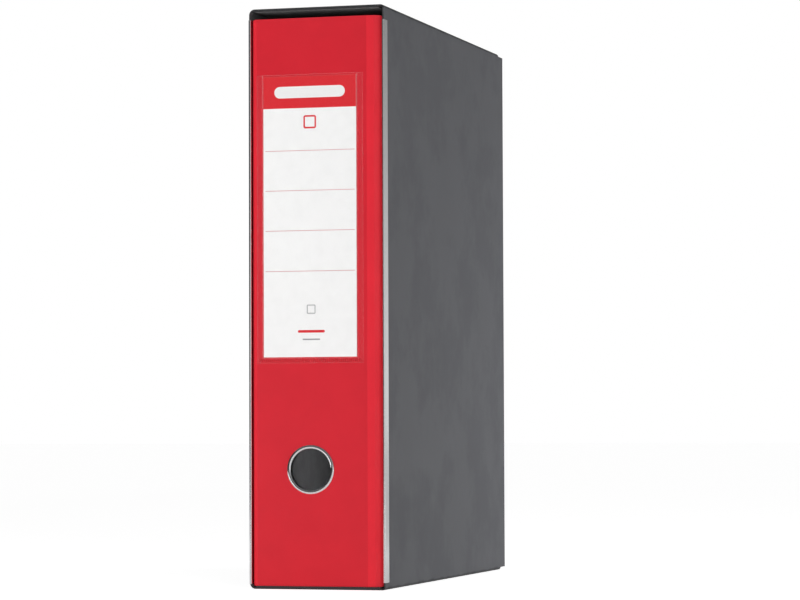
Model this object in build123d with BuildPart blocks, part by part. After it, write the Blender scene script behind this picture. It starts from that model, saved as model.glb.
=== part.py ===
from build123d import *
import os

os.makedirs("parts", exist_ok=True)

# A lever arch file standing in its slipcase. Millimetres, +Z up.
# Origin: centre of the slipcase's footprint, on the surface it stands on.
# The spine faces -Y, the file's thickness runs along X, the back cover with the mechanism is at -X.

# ---------------------------------------------------------------- slipcase
case_width = 85.0            # over the outer faces of the side boards
case_height = 350.0          # floor to roof, outside
case_length = 285.25         # boards, front edge to back face
case_board = 0.9             # board thickness of the shell
case_liner = 0.8             # board thickness of the glued liners
case_left_radius = 3.5       # long edges of the left side, outside
case_right_radius = 1.8      # long edges of the right side, folded sharper
case_back_radius = 2.0       # upright back corners, outside
seam_gap = 0.2               # joint between the two halves of the shell
flap_setback = 13.0          # roof and floor flaps stop this far before the back face
back_liner_width = 40.0      # strip that backs the seam of the back panel

strip_sheet = 0.3            # sheet metal of the front edge strips
strip_flange = 7.0           # how far a strip reaches back over the board
left_strip_gaps = (3.0, 6.6)   # floor to the strip's lower end, its upper end to the roof's top
right_strip_gaps = (4.4, 9.0)

# ---------------------------------------------------------------- covers of the file
spine_recess = 1.5           # spine face behind the front of the edge strips
side_gap = 0.4               # file to the inner flange of an edge strip, each side
floor_gap = 0.15             # file to the floor liner
roof_gap = 4.5               # file to the roof liner
back_gap = 2.8               # fore edge to the back liner
film = 0.4                   # plastic film over the outside of the covers
cover_board = 2.0
lining = 0.3                 # paper inside the covers
lining_inset = 1.5           # lining edge inside the board edge
spine_board_margin = 1.2     # spine board inside each crease
back_hinge_width = 2.9       # hinge of the back cover, along X
back_hinge_depth = 1.0       # the same hinge, along Y
front_hinge_width = 5.1      # outer part of the front cover's hinge, along X
front_crease_width = 4.4     # inner part of the front cover's hinge, along X
front_crease_depth = 1.0     # the inner part, along Y
front_hinge_depth = 3.5      # both parts, along Y
crease_radius = 0.8
film_corner_radius = 2.0     # film's corners at both ends of the hinges, seen from the front
cover_board_setback = 8.0    # spine face to the front edge of a cover board

# ---------------------------------------------------------------- finger ring
ring_shift = -1.0            # ring and label centre from the centre of the spine
ring_centre_height = 71.7
ring_hole_radius = 12.5
ring_brim = 2.3              # front flange beyond the hole, radial
ring_wall = 0.6
ring_fit = 0.2               # barrel to the hole in the spine, radial
ring_flange = 0.75
ring_round = 0.3
ring_curl = 0.8              # rolled rear edge beyond the barrel, radial
ring_curl_height = 0.5
washer_brim = 1.4            # washer beyond the front flange, radial
washer_sheet = 0.5
washer_fit = 0.15

# ---------------------------------------------------------------- label and its pocket
label_card = 0.3
label_slack = 0.12           # behind and in front of the card
label_side_slack = 0.4
pocket_sheet = 0.25
pocket_margin = 1.3          # pocket inside the spine's creases, mean of both sides
pocket_above_ring = 63.9     # pocket's bottom above the ring's centre
pocket_top_margin = 34.2     # spine's top edge above the pocket
pocket_weld = 4.1            # pocket's side edges beyond the label
pocket_hem = 3.6             # pocket's bottom edge below the label
label_top_margin = 1.0       # label's top below the pocket's

# ---------------------------------------------------------------- lever arch mechanism
plate_rise = 3.0             # pan height of the base plate
plate_sheet = 1.0
plate_end = 35.0             # base plate beyond the posts, along Z
plate_margin = 9.0           # base plate beyond the rod and beyond the posts
plate_corner = 6.0
rod_from_spine = 28.0        # arch rod's axis to the inner face of the spine
rod_rise = 6.0               # arch rod's axis above the base plate
post_reach = 44.0            # posts' axes from the rod's axis
hole_spacing = 80.0          # between the two posts
wire_radius = 1.75
wire_fit = 0.08
arch_clearance = 12.45       # top of the arches to the front cover's lining
arch_radius_tip = 14.0
arch_flat = 2.0              # straight run on top, between the two bends
arch_tip_drop = 15.0         # end of the arch below its top, between the axes
wire_bend = 4.5
wire_soft_bend = 6.0
crank_reach = 14.0           # crank's axis from the rod's axis
crank_upper = 15.0           # upper crank arm above the mechanism's centre
crank_lower = 19.0           # lower crank arm below the mechanism's centre
crank_dip = 2.6              # the crank's lower run, below the rod's axis
crank_slope = 4.5            # length of the slope into the dip
lug_sheet = 1.5
lug_radius = 4.0
lug_upper = 26.0             # rod lugs above and below the mechanism's centre
lug_lower = 30.0
lug_root = 0.5               # ears and lugs start inside the sheet by this much

post_radius = 2.5
post_gap = 0.4               # post's top below the arch's end
post_flange_radius = 4.0
post_flange = 1.2
post_shank_radius = 2.0
post_shank_fit = 0.05
post_head_radius = 3.2
post_head = 0.8
post_dimple_radius = 1.2
post_dimple = 1.4
post_chamfer = 0.5

pivot_above_centre = 4.0     # lever's pivot above the mechanism's centre
roller_arm = 9.5             # pivot to roller
roller_radius = 3.5
roller_gap = 0.8             # roller to the crank with the lever down
roller_fit = 0.06
roller_pin_radius = 1.2
roller_pin_head_radius = 2.0
roller_pin_head = 0.6
pin_fit = 0.05
lever_pin_radius = 1.5
lever_pin_head_radius = 2.8
lever_pin_head = 0.8
lever_width = 11.0
lever_sheet = 1.0
lever_length = 46.0          # pivot to the end of the steel, along the lever
lever_thickness = 3.6        # height of the channel at its end
boss_height = 3.8            # lever's cheeks above the pivot
boss_half = 3.4              # cheeks beside the pivot
roller_boss = 2.5            # cheeks below and beside the roller's axis
neck_drop = 14.0             # pivot to the bend between cheeks and handle, along the lever
neck_top = 3.0               # top of the handle below the pivot, at that bend
neck_bottom = 9.0            # underside of the handle below the pivot, at that bend
tip_top = 6.4                # top of the handle below the pivot, at its end
roller_side_gap = 0.2
ear_gap = 1.0                # lever's side to the bracket ear
ear_sheet = 1.0
ear_radius = 4.5
grip_length = 16.0
grip_wall = 1.4
grip_fit = 0.05
grip_round = 1.2

bar_end = 18.0               # compressor bar beyond the posts, along Z
bar_width = 15.0
bar_sheet = 1.2
bar_corner = 5.0
bar_rim = 2.2                # turned-up long edges of the compressor bar
slide_lift = 0.8             # slides above the post flanges at rest
slide_fit = 0.08
slide_height = 7.0
slide_radius = 3.5
slide_seat_fit = 0.05
slide_flange_radius = 5.2
slide_flange = 1.2
slide_catch_radius = 4.2
slide_catch = 1.0

rivet_radius = 2.0
rivet_fit = 0.1
rivet_head_radius = 4.5
rivet_head = 0.25
rivet_inner_head_radius = 3.4
rivet_inner_head = 0.8
rivet_inset = 6.0            # rivet centres inside the plate's long edges
rivet_end_inset = 8.0        # rivet centres inside the plate's short edges
foot_radius = 4.5            # feet of the base plate, clear of its rim

# ---------------------------------------------------------------- places worked out from the sizes
strip_nose = case_board / 2 + strip_sheet
overall_depth = case_length + strip_nose
case_back = overall_depth / 2
case_front = case_back - case_length
shell_end = case_back - flap_setback
floor_top = case_board + case_liner

wall = film + cover_board + lining
file_thickness = case_width - 2 * (case_board + strip_sheet + side_gap)
spine_face = -overall_depth / 2 + spine_recess
spine_inner = spine_face + wall
fore_edge = case_back - case_board - case_liner - back_gap
file_bottom = floor_top + floor_gap
file_height = case_height - 2 * floor_top - floor_gap - roof_gap
file_top = file_bottom + file_height
file_middle = file_bottom + file_height / 2
spine_left = -file_thickness / 2 + back_hinge_width
spine_right = file_thickness / 2 - front_hinge_width - front_crease_width
spine_width = spine_right - spine_left
spine_centre = (spine_left + spine_right) / 2
spine_board_width = spine_width - 2 * spine_board_margin
back_inner = -file_thickness / 2 + wall
inner_thickness = file_thickness - 2 * wall

ring_x = spine_centre + ring_shift
ring_outer_radius = ring_hole_radius + ring_brim
ring_seat_radius = ring_hole_radius + ring_wall + ring_fit

pocket_width = spine_width - 2 * pocket_margin
pocket_bottom = ring_centre_height + pocket_above_ring
pocket_top = file_top - pocket_top_margin
label_width = pocket_width - 2 * pocket_weld
label_bottom = pocket_bottom + pocket_hem
label_height = pocket_top - label_top_margin - label_bottom

plate_top = back_inner + plate_rise
rod_x = plate_top + rod_rise
rod_y = spine_inner + rod_from_spine
post_y = rod_y + post_reach
mechanism_z = file_middle
arch_height = inner_thickness - plate_rise - rod_rise - wire_radius - arch_clearance
arch_tip_height = arch_height - arch_tip_drop
arch_radius_rod = post_reach - arch_radius_tip - arch_flat
post_top = rod_x + arch_tip_height - post_gap
plate_width = post_reach + 2 * plate_margin
plate_length = hole_spacing + 2 * plate_end
bar_length = hole_spacing + 2 * bar_end
plate_centre_y = rod_y + post_reach / 2
pivot_x = rod_x + wire_radius + roller_gap + roller_radius + roller_arm
pivot_y = rod_y + crank_reach
pivot_z = mechanism_z + pivot_above_centre
lever_low_y = pivot_y - lever_width / 2
ear_low_y = lever_low_y - ear_gap - ear_sheet
ear_high_y = pivot_y + lever_width / 2 + ear_gap
slide_bottom = plate_top + post_flange + slide_lift
bar_bottom = slide_bottom + slide_flange
rivet_spacing_y = plate_width - 2 * rivet_inset
rivet_spacing_z = plate_length - 2 * rivet_end_inset


def cross_plane(y):
    """Plane across the file at this Y: local x is X, local y is Z, its normal is -Y."""
    return Plane.XZ.offset(-y)


# ================================================================ slipcase
# Two board halves. Each is a side panel with a roof flap and a floor flap, and turns the upright
# back corner into half of the back panel.
case_halves = (
    ("left", -1, case_left_radius, left_strip_gaps),
    ("right", 1, case_right_radius, right_strip_gaps),
)
for side, sign, edge_radius, (strip_bottom_gap, strip_top_gap) in case_halves:
    with BuildPart() as case_half:
        with BuildSketch(cross_plane(case_front)):
            with Locations((0, case_height / 2)):
                RectangleRounded(case_width, case_height, edge_radius)
                RectangleRounded(
                    case_width - 2 * case_board,
                    case_height - 2 * case_board,
                    edge_radius - case_board,
                    mode=Mode.SUBTRACT,
                )
            with Locations((-sign * case_width / 2, case_height / 2)):
                Rectangle(case_width + seam_gap, case_height, mode=Mode.SUBTRACT)
        extrude(amount=-(shell_end - case_front))
        with BuildSketch(Plane.XY.offset(floor_top)):
            with Locations((0, case_back - case_length / 2)):
                RectangleRounded(case_width, case_length, case_back_radius)
                RectangleRounded(
                    case_width - 2 * case_board,
                    case_length - 2 * case_board,
                    case_back_radius - case_board,
                    mode=Mode.SUBTRACT,
                )
            with Locations((-sign * case_width / 2, case_back - case_length / 2)):
                Rectangle(case_width + seam_gap, case_length, mode=Mode.SUBTRACT)
            with Locations((0, (case_front + shell_end) / 2)):
                Rectangle(case_width, shell_end - case_front, mode=Mode.SUBTRACT)
        extrude(amount=case_height - 2 * floor_top)
    case_half.part.label = f"case_board_{side}"
    export_step(case_half.part, f"parts/case_board_{side}.step")

    # Sheet metal channel clipped over the front edge of the side board.
    with BuildPart() as edge_strip:
        strip_x = sign * (case_width - case_board) / 2
        with BuildSketch(Plane.XY.offset(strip_bottom_gap)):
            with Locations((strip_x, case_front)):
                Circle(strip_nose)
            with Locations((strip_x, case_front + strip_flange / 2)):
                Rectangle(2 * strip_nose, strip_flange)
                Rectangle(case_board, strip_flange, mode=Mode.SUBTRACT)
            with Locations((strip_x, case_front)):
                Circle(case_board / 2, mode=Mode.SUBTRACT)
        extrude(amount=case_height - strip_top_gap - strip_bottom_gap)
    edge_strip.part.label = f"edge_strip_{side}"
    export_step(edge_strip.part, f"parts/edge_strip_{side}.step")

# Liners glued inside the roof and the floor, between the rounded edges. They cover the back panel's
# ends, where the flaps stop short.
liner_width = case_width - 2 * max(case_left_radius, case_right_radius, case_back_radius)
for place, liner_z in (("roof", case_height - floor_top), ("floor", case_board)):
    with BuildPart() as case_liner_panel:
        with BuildSketch(Plane.XY.offset(liner_z)):
            with Locations((0, case_back - case_length / 2)):
                Rectangle(liner_width, case_length)
        extrude(amount=case_liner)
    case_liner_panel.part.label = f"case_{place}_liner"
    export_step(case_liner_panel.part, f"parts/case_{place}_liner.step")

# Strip glued inside the back panel, over its seam.
with BuildPart() as case_back_liner:
    with BuildSketch(cross_plane(case_back - case_board)):
        with Locations((0, case_height / 2)):
            Rectangle(back_liner_width, case_height - 2 * floor_top)
    extrude(amount=case_liner)
case_back_liner.part.label = "case_back_liner"
export_step(case_back_liner.part, "parts/case_back_liner.step")

# ================================================================ covers of the file
# One sheet of film runs round the spine and both covers, creased at the hinges.
with BuildPart() as cover_film:
    with BuildSketch(Plane.XY.offset(file_bottom)) as film_section:
        with BuildLine():
            Polyline(
                (-file_thickness / 2, fore_edge + wall),
                (-file_thickness / 2, spine_face + back_hinge_depth),
                (spine_left, spine_face),
                (spine_right, spine_face),
                (spine_right + front_crease_width, spine_face + front_crease_depth),
                (file_thickness / 2, spine_face + front_hinge_depth),
                (file_thickness / 2, fore_edge + wall),
                close=True,
            )
        make_face()
        creases = film_section.vertices().group_by(Axis.Y)[:-1]
        fillet([vertex for group in creases for vertex in group], radius=crease_radius)
        offset(amount=-film, kind=Kind.INTERSECTION, mode=Mode.SUBTRACT)
        with Locations((0, fore_edge + wall)):
            Rectangle(file_thickness, 2 * wall, mode=Mode.SUBTRACT)
    extrude(amount=file_height)
    with BuildSketch(cross_plane(spine_face)):
        with Locations((ring_x, ring_centre_height)):
            Circle(ring_seat_radius)
    extrude(amount=-wall, mode=Mode.SUBTRACT)
    with BuildSketch(Plane.YZ.offset(-file_thickness / 2)):
        with Locations((plate_centre_y, mechanism_z)):
            with GridLocations(rivet_spacing_y, rivet_spacing_z, 2, 2):
                Circle(rivet_radius + rivet_fit)
    extrude(amount=film, mode=Mode.SUBTRACT)
    for sign, hinge_depth in ((-1, back_hinge_depth), (1, front_hinge_depth)):
        with BuildSketch(cross_plane(spine_face)):
            with Locations((sign * file_thickness / 2, file_middle)):
                with GridLocations(0, file_height, 1, 2):
                    Rectangle(2 * film_corner_radius, 2 * film_corner_radius)
            with Locations((sign * (file_thickness / 2 - film_corner_radius), file_middle)):
                with GridLocations(0, file_height - 2 * film_corner_radius, 1, 2):
                    Circle(film_corner_radius, mode=Mode.SUBTRACT)
        extrude(amount=-(hinge_depth + crease_radius), mode=Mode.SUBTRACT)
cover_film.part.label = "cover_film"
export_step(cover_film.part, "parts/cover_film.step")

# Spine board and its lining, with the hole for the finger ring.
spine_layers = (
    ("spine_board", spine_face + film, cover_board, 0.0),
    ("spine_lining", spine_face + film + cover_board, lining, lining_inset),
)
for name, front_y, thickness, inset in spine_layers:
    with BuildPart() as spine_layer:
        with BuildSketch(cross_plane(front_y)):
            with Locations((spine_centre, file_middle)):
                Rectangle(spine_board_width - 2 * inset, file_height - 2 * inset)
            with Locations((ring_x, ring_centre_height)):
                Circle(ring_seat_radius, mode=Mode.SUBTRACT)
        extrude(amount=-thickness)
    spine_layer.part.label = name
    export_step(spine_layer.part, f"parts/{name}.step")

# Cover boards and their linings. The back cover is drilled for the mechanism's rivets.
cover_depth = fore_edge - spine_face - cover_board_setback
cover_centre_y = (spine_face + cover_board_setback + fore_edge) / 2
cover_layers = (
    ("back_cover_board", -file_thickness / 2 + film, cover_board, 0.0, True),
    ("back_cover_lining", back_inner - lining, lining, lining_inset, True),
    ("front_cover_board", file_thickness / 2 - film - cover_board, cover_board, 0.0, False),
    ("front_cover_lining", -back_inner, lining, lining_inset, False),
)
for name, low_x, thickness, inset, drilled in cover_layers:
    with BuildPart() as cover_layer:
        with BuildSketch(Plane.YZ.offset(low_x)):
            with Locations((cover_centre_y, file_middle)):
                Rectangle(cover_depth - 2 * inset, file_height - 2 * inset)
            if drilled:
                with Locations((plate_centre_y, mechanism_z)):
                    with GridLocations(rivet_spacing_y, rivet_spacing_z, 2, 2):
                        Circle(rivet_radius + rivet_fit, mode=Mode.SUBTRACT)
        extrude(amount=thickness)
    cover_layer.part.label = name
    export_step(cover_layer.part, f"parts/{name}.step")

# ================================================================ finger ring
# A pressed eyelet: rounded flange in front, barrel through the spine, rolled edge behind the washer.
ring_origin = (ring_x, spine_face, ring_centre_height)
barrel_radius = ring_hole_radius + ring_wall
curl_start = wall + washer_sheet
curl_end = curl_start + ring_curl_height
with BuildPart() as finger_ring:
    with BuildSketch(Plane(ring_origin)) as ring_section:
        with BuildLine():
            Polyline(
                (ring_hole_radius, -ring_flange),
                (ring_outer_radius, -ring_flange),
                (ring_outer_radius, 0),
                (barrel_radius, 0),
                (barrel_radius, curl_start),
                (barrel_radius + ring_curl, curl_start),
                (barrel_radius + ring_curl, curl_end),
                (ring_hole_radius, curl_end),
                close=True,
            )
        make_face()
        fillet(ring_section.vertices().group_by(Axis.Y)[0], radius=ring_round)
    revolve(axis=Axis(ring_origin, (0, 1, 0)))
finger_ring.part.label = "finger_ring"
export_step(finger_ring.part, "parts/finger_ring.step")

with BuildPart() as finger_ring_washer:
    with BuildSketch(cross_plane(spine_inner)):
        with Locations((ring_x, ring_centre_height)):
            Circle(ring_outer_radius + washer_brim)
            Circle(barrel_radius + washer_fit, mode=Mode.SUBTRACT)
    extrude(amount=-washer_sheet)
finger_ring_washer.part.label = "finger_ring_washer"
export_step(finger_ring_washer.part, "parts/finger_ring_washer.step")

# ================================================================ label pocket and label
# Clear sheet welded to the spine on three sides, raised over the card and open at the top.
pocket_depth = label_card + 2 * label_slack
cavity_width = label_width + 2 * label_side_slack
cavity_bottom = label_bottom - label_side_slack
raised_bottom = cavity_bottom - pocket_sheet
with BuildPart() as label_pocket:
    with BuildSketch(cross_plane(spine_face)):
        with Locations((ring_x, (pocket_bottom + pocket_top) / 2)):
            Rectangle(pocket_width, pocket_top - pocket_bottom)
    extrude(amount=pocket_sheet)
    with BuildSketch(cross_plane(spine_face)):
        with Locations((ring_x, (raised_bottom + pocket_top) / 2)):
            Rectangle(cavity_width + 2 * pocket_sheet, pocket_top - raised_bottom)
    extrude(amount=pocket_depth + pocket_sheet)
    with BuildSketch(cross_plane(spine_face)):
        with Locations((ring_x, (cavity_bottom + pocket_top) / 2)):
            Rectangle(cavity_width, pocket_top - cavity_bottom)
    extrude(amount=pocket_depth, mode=Mode.SUBTRACT)
label_pocket.part.label = "label_pocket"
export_step(label_pocket.part, "parts/label_pocket.step")

with BuildPart() as spine_label:
    with BuildSketch(cross_plane(spine_face - label_slack)):
        with Locations((ring_x, label_bottom + label_height / 2)):
            Rectangle(label_width, label_height)
    extrude(amount=label_card)
spine_label.part.label = "spine_label"
export_step(spine_label.part, "parts/spine_label.step")

# ================================================================ base plate
# A pressed steel pan with four riveted feet, two bracket ears for the lever and two lugs for the rod.
with BuildPart() as base_plate:
    with BuildSketch(Plane.YZ.offset(back_inner)):
        with Locations((plate_centre_y, mechanism_z)):
            RectangleRounded(plate_width, plate_length, plate_corner)
    extrude(amount=plate_rise)
    with BuildSketch(Plane.YZ.offset(back_inner)):
        with Locations((plate_centre_y, mechanism_z)):
            RectangleRounded(
                plate_width - 2 * plate_sheet,
                plate_length - 2 * plate_sheet,
                plate_corner - plate_sheet,
            )
            with GridLocations(rivet_spacing_y, rivet_spacing_z, 2, 2):
                Circle(foot_radius, mode=Mode.SUBTRACT)
    extrude(amount=plate_rise - plate_sheet, mode=Mode.SUBTRACT)
    with BuildSketch(Plane.YZ.offset(back_inner)):
        with Locations((plate_centre_y, mechanism_z)):
            with GridLocations(rivet_spacing_y, rivet_spacing_z, 2, 2):
                Circle(rivet_radius + rivet_fit)
        with Locations((post_y, mechanism_z)):
            with GridLocations(0, hole_spacing, 1, 2):
                Circle(post_shank_radius + post_shank_fit)
    extrude(amount=plate_rise, mode=Mode.SUBTRACT)
    for ear_y in (ear_low_y, ear_high_y):
        ear_root = plate_top - lug_root
        with BuildSketch(cross_plane(ear_y)):
            with Locations(((ear_root + pivot_x) / 2, pivot_z)):
                Rectangle(pivot_x - ear_root, 2 * ear_radius)
            with Locations((pivot_x, pivot_z)):
                Circle(ear_radius)
                Circle(lever_pin_radius + pin_fit, mode=Mode.SUBTRACT)
        extrude(amount=-ear_sheet)
    for lug_z in (mechanism_z + lug_upper, mechanism_z - lug_lower):
        lug_base = plate_top - lug_root
        with BuildSketch(Plane.XY.offset(lug_z - lug_sheet / 2)):
            with Locations(((lug_base + rod_x) / 2, rod_y)):
                Rectangle(rod_x - lug_base, 2 * lug_radius)
            with Locations((rod_x, rod_y)):
                Circle(lug_radius)
                Circle(wire_radius + wire_fit, mode=Mode.SUBTRACT)
        extrude(amount=lug_sheet)
base_plate.part.label = "base_plate"
export_step(base_plate.part, "parts/base_plate.step")

# Rivets through the back cover and the feet of the base plate.
with BuildPart() as cover_rivets:
    rivet_steps = (
        (-file_thickness / 2 - rivet_head, rivet_head, rivet_head_radius),
        (-file_thickness / 2, plate_top + file_thickness / 2, rivet_radius),
        (plate_top, rivet_inner_head, rivet_inner_head_radius),
    )
    for low_x, length, radius in rivet_steps:
        with BuildSketch(Plane.YZ.offset(low_x)):
            with Locations((plate_centre_y, mechanism_z)):
                with GridLocations(rivet_spacing_y, rivet_spacing_z, 2, 2):
                    Circle(radius)
        extrude(amount=length)
cover_rivets.part.label = "cover_rivets"
export_step(cover_rivets.part, "parts/cover_rivets.step")

# Posts: riveted under the plate, dimpled on top where the arch ends meet them.
for place, post_z in (("upper", mechanism_z + hole_spacing / 2), ("lower", mechanism_z - hole_spacing / 2)):
    with BuildPart() as post:
        under_plate = plate_top - plate_sheet
        post_steps = (
            (under_plate - post_head, post_head, post_head_radius),
            (under_plate, plate_sheet, post_shank_radius),
            (plate_top, post_flange, post_flange_radius),
            (plate_top + post_flange, post_top - plate_top - post_flange, post_radius),
        )
        for low_x, length, radius in post_steps:
            with BuildSketch(Plane.YZ.offset(low_x)):
                with Locations((post_y, post_z)):
                    Circle(radius)
            extrude(amount=length)
        chamfer(post.faces().sort_by(Axis.X)[-1].outer_wire().edges(), length=post_chamfer)
        with BuildSketch(Plane.XY.offset(post_z)):
            with BuildLine():
                Polyline(
                    (post_top - post_dimple, post_y),
                    (post_top, post_y),
                    (post_top, post_y + post_dimple_radius),
                    close=True,
                )
            make_face()
        revolve(axis=Axis((post_top, post_y, post_z), (1, 0, 0)), mode=Mode.SUBTRACT)
    post.part.label = f"post_{place}"
    export_step(post.part, f"parts/post_{place}.step")

# ================================================================ arch wire
# One bent wire: two arches, the rod between them in the lugs, and the crank under the lever's roller.
arch_upper_z = mechanism_z + hole_spacing / 2
arch_lower_z = mechanism_z - hole_spacing / 2
wire_route = [
    (rod_x + arch_tip_height, post_y, arch_upper_z),
    (rod_x + arch_height, post_y, arch_upper_z),
    (rod_x + arch_height, rod_y, arch_upper_z),
    (rod_x, rod_y, arch_upper_z),
    (rod_x, rod_y, mechanism_z + crank_upper),
    (rod_x, pivot_y, mechanism_z + crank_upper),
    (rod_x, pivot_y, pivot_z),
    (rod_x - crank_dip, pivot_y, pivot_z - crank_slope),
    (rod_x - crank_dip, pivot_y, mechanism_z - crank_lower),
    (rod_x, rod_y, mechanism_z - crank_lower),
    (rod_x, rod_y, arch_lower_z),
    (rod_x + arch_height, rod_y, arch_lower_z),
    (rod_x + arch_height, post_y, arch_lower_z),
    (rod_x + arch_tip_height, post_y, arch_lower_z),
]
wire_bends = [
    arch_radius_tip,
    arch_radius_rod,
    wire_bend,
    wire_bend,
    wire_bend,
    wire_soft_bend,
    wire_soft_bend,
    wire_bend,
    wire_bend,
    wire_bend,
    arch_radius_rod,
    arch_radius_tip,
]
with BuildPart() as arch_wire:
    with BuildLine() as wire_path:
        FilletPolyline(*wire_route, radius=wire_bends)
    with BuildSketch(Plane(wire_route[0], z_dir=(1, 0, 0))):
        Circle(wire_radius)
    sweep(path=wire_path.wires()[0])
arch_wire.part.label = "arch_wire"
export_step(arch_wire.part, "parts/arch_wire.step")


# ================================================================ lever
# Side outline in X and Z about the pivot: cheeks round the pivot and the roller, then the handle.
lever_outline = [
    (pivot_x + boss_height, pivot_z + boss_half),
    (pivot_x + boss_height, pivot_z - boss_half),
    (pivot_x - neck_top, pivot_z - neck_drop),
    (pivot_x - tip_top, pivot_z - lever_length),
    (pivot_x - tip_top - lever_thickness, pivot_z - lever_length),
    (pivot_x - neck_bottom, pivot_z - neck_drop),
    (pivot_x - roller_arm - roller_boss, pivot_z - roller_boss),
    (pivot_x - roller_arm - roller_boss, pivot_z + roller_boss),
]
channel_outline = [
    (pivot_x + boss_height - lever_sheet, pivot_z + 2 * boss_half),
    (pivot_x + boss_height - lever_sheet, pivot_z - boss_half),
    (pivot_x - neck_top - lever_sheet, pivot_z - neck_drop),
    (pivot_x - tip_top - lever_sheet, pivot_z - lever_length + lever_sheet),
    (pivot_x - 2 * roller_arm, pivot_z - lever_length + lever_sheet),
    (pivot_x - 2 * roller_arm, pivot_z + 2 * boss_half),
]

# Steel channel, open underneath, closed on top and at its end.
with BuildPart() as lever:
    with BuildSketch(cross_plane(lever_low_y)):
        with BuildLine():
            Polyline(*lever_outline, close=True)
        make_face()
    extrude(amount=-lever_width)
    with BuildSketch(cross_plane(lever_low_y + lever_sheet)):
        with BuildLine():
            Polyline(*channel_outline, close=True)
        make_face()
    extrude(amount=-(lever_width - 2 * lever_sheet), mode=Mode.SUBTRACT)
    with BuildSketch(cross_plane(lever_low_y)):
        with Locations((pivot_x, pivot_z)):
            Circle(lever_pin_radius + pin_fit)
        with Locations((pivot_x - roller_arm, pivot_z)):
            Circle(roller_pin_radius + pin_fit)
    extrude(amount=-lever_width, mode=Mode.SUBTRACT)
lever.part.label = "lever"
export_step(lever.part, "parts/lever.step")

# Moulded thumb grip pushed over the lever's end.
grip_top = pivot_x - tip_top + grip_wall + lever_sheet
grip_bottom = pivot_x - tip_top - lever_thickness - grip_wall
grip_end = pivot_z - lever_length - grip_wall
with BuildPart() as lever_grip:
    with BuildSketch(cross_plane(lever_low_y - grip_wall)):
        with Locations(((grip_top + grip_bottom) / 2, grip_end + grip_length / 2)):
            RectangleRounded(grip_top - grip_bottom, grip_length, grip_round)
    extrude(amount=-(lever_width + 2 * grip_wall))
    with BuildSketch(cross_plane(lever_low_y - grip_fit)):
        with BuildLine():
            Polyline(*lever_outline, close=True)
        make_face()
        offset(amount=grip_fit, kind=Kind.INTERSECTION)
    extrude(amount=-(lever_width + 2 * grip_fit), mode=Mode.SUBTRACT)
lever_grip.part.label = "lever_grip"
export_step(lever_grip.part, "parts/lever_grip.step")


def headed_pin(axis_x, axis_z, low_y, high_y, radius, head_radius, head):
    """Pin along Y between two heads: low_y and high_y are the inner faces of the heads."""
    with BuildPart() as pin:
        steps = (
            (low_y - head, head, head_radius),
            (low_y, high_y - low_y, radius),
            (high_y, head, head_radius),
        )
        for start_y, length, step_radius in steps:
            with BuildSketch(cross_plane(start_y)):
                with Locations((axis_x, axis_z)):
                    Circle(step_radius)
            extrude(amount=-length)
    return pin


lever_pin = headed_pin(
    pivot_x,
    pivot_z,
    ear_low_y,
    ear_high_y + ear_sheet,
    lever_pin_radius,
    lever_pin_head_radius,
    lever_pin_head,
)
lever_pin.part.label = "lever_pin"
export_step(lever_pin.part, "parts/lever_pin.step")

roller_x = pivot_x - roller_arm
roller_pin = headed_pin(
    roller_x,
    pivot_z,
    lever_low_y,
    lever_low_y + lever_width,
    roller_pin_radius,
    roller_pin_head_radius,
    roller_pin_head,
)
roller_pin.part.label = "roller_pin"
export_step(roller_pin.part, "parts/roller_pin.step")

roller_width = lever_width - 2 * lever_sheet - 2 * roller_side_gap
with BuildPart() as roller:
    with BuildSketch(cross_plane(pivot_y - roller_width / 2)):
        with Locations((roller_x, pivot_z)):
            Circle(roller_radius)
            Circle(roller_pin_radius + roller_fit, mode=Mode.SUBTRACT)
    extrude(amount=-roller_width)
roller.part.label = "roller"
export_step(roller.part, "parts/roller.step")

# ================================================================ compressor
# Steel bar with turned-up long edges, carried on the posts by two moulded slides.
with BuildPart() as compressor_bar:
    with BuildSketch(Plane.YZ.offset(bar_bottom)):
        with Locations((post_y, mechanism_z)):
            RectangleRounded(bar_width, bar_length, bar_corner)
            with GridLocations(0, hole_spacing, 1, 2):
                Circle(slide_radius + slide_seat_fit, mode=Mode.SUBTRACT)
    extrude(amount=bar_sheet)
    with BuildSketch(Plane.YZ.offset(bar_bottom + bar_sheet)):
        with Locations((post_y, mechanism_z)):
            with GridLocations(bar_width - bar_sheet, 0, 2, 1):
                Rectangle(bar_sheet, bar_length - 2 * bar_corner)
    extrude(amount=bar_rim)
compressor_bar.part.label = "compressor_bar"
export_step(compressor_bar.part, "parts/compressor_bar.step")

for place, post_z in (("upper", arch_upper_z), ("lower", arch_lower_z)):
    with BuildPart() as compressor_slide:
        slide_steps = (
            (slide_bottom, slide_flange, slide_flange_radius),
            (slide_bottom + slide_flange, slide_height - slide_flange, slide_radius),
            (bar_bottom + bar_sheet, slide_catch, slide_catch_radius),
        )
        for low_x, length, radius in slide_steps:
            with BuildSketch(Plane.YZ.offset(low_x)):
                with Locations((post_y, post_z)):
                    Circle(radius)
            extrude(amount=length)
        with BuildSketch(Plane.YZ.offset(slide_bottom)):
            with Locations((post_y, post_z)):
                Circle(post_radius + slide_fit)
        extrude(amount=slide_height, mode=Mode.SUBTRACT)
    compressor_slide.part.label = f"compressor_slide_{place}"
    export_step(compressor_slide.part, f"parts/compressor_slide_{place}.step")
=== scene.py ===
"""Looks of a lever arch file in its slipcase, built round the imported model.

Metres, +Z up. The spine faces -Y, the back cover with the mechanism is at -X.
"""

import logging
import math
from dataclasses import dataclass, field
from enum import Enum

import bmesh
import bpy
from bpy.types import ID, Material, Node, NodeInputs, NodeOutputs, NodeSocket, NodeTree, Object
from mathutils import Matrix, Vector


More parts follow.
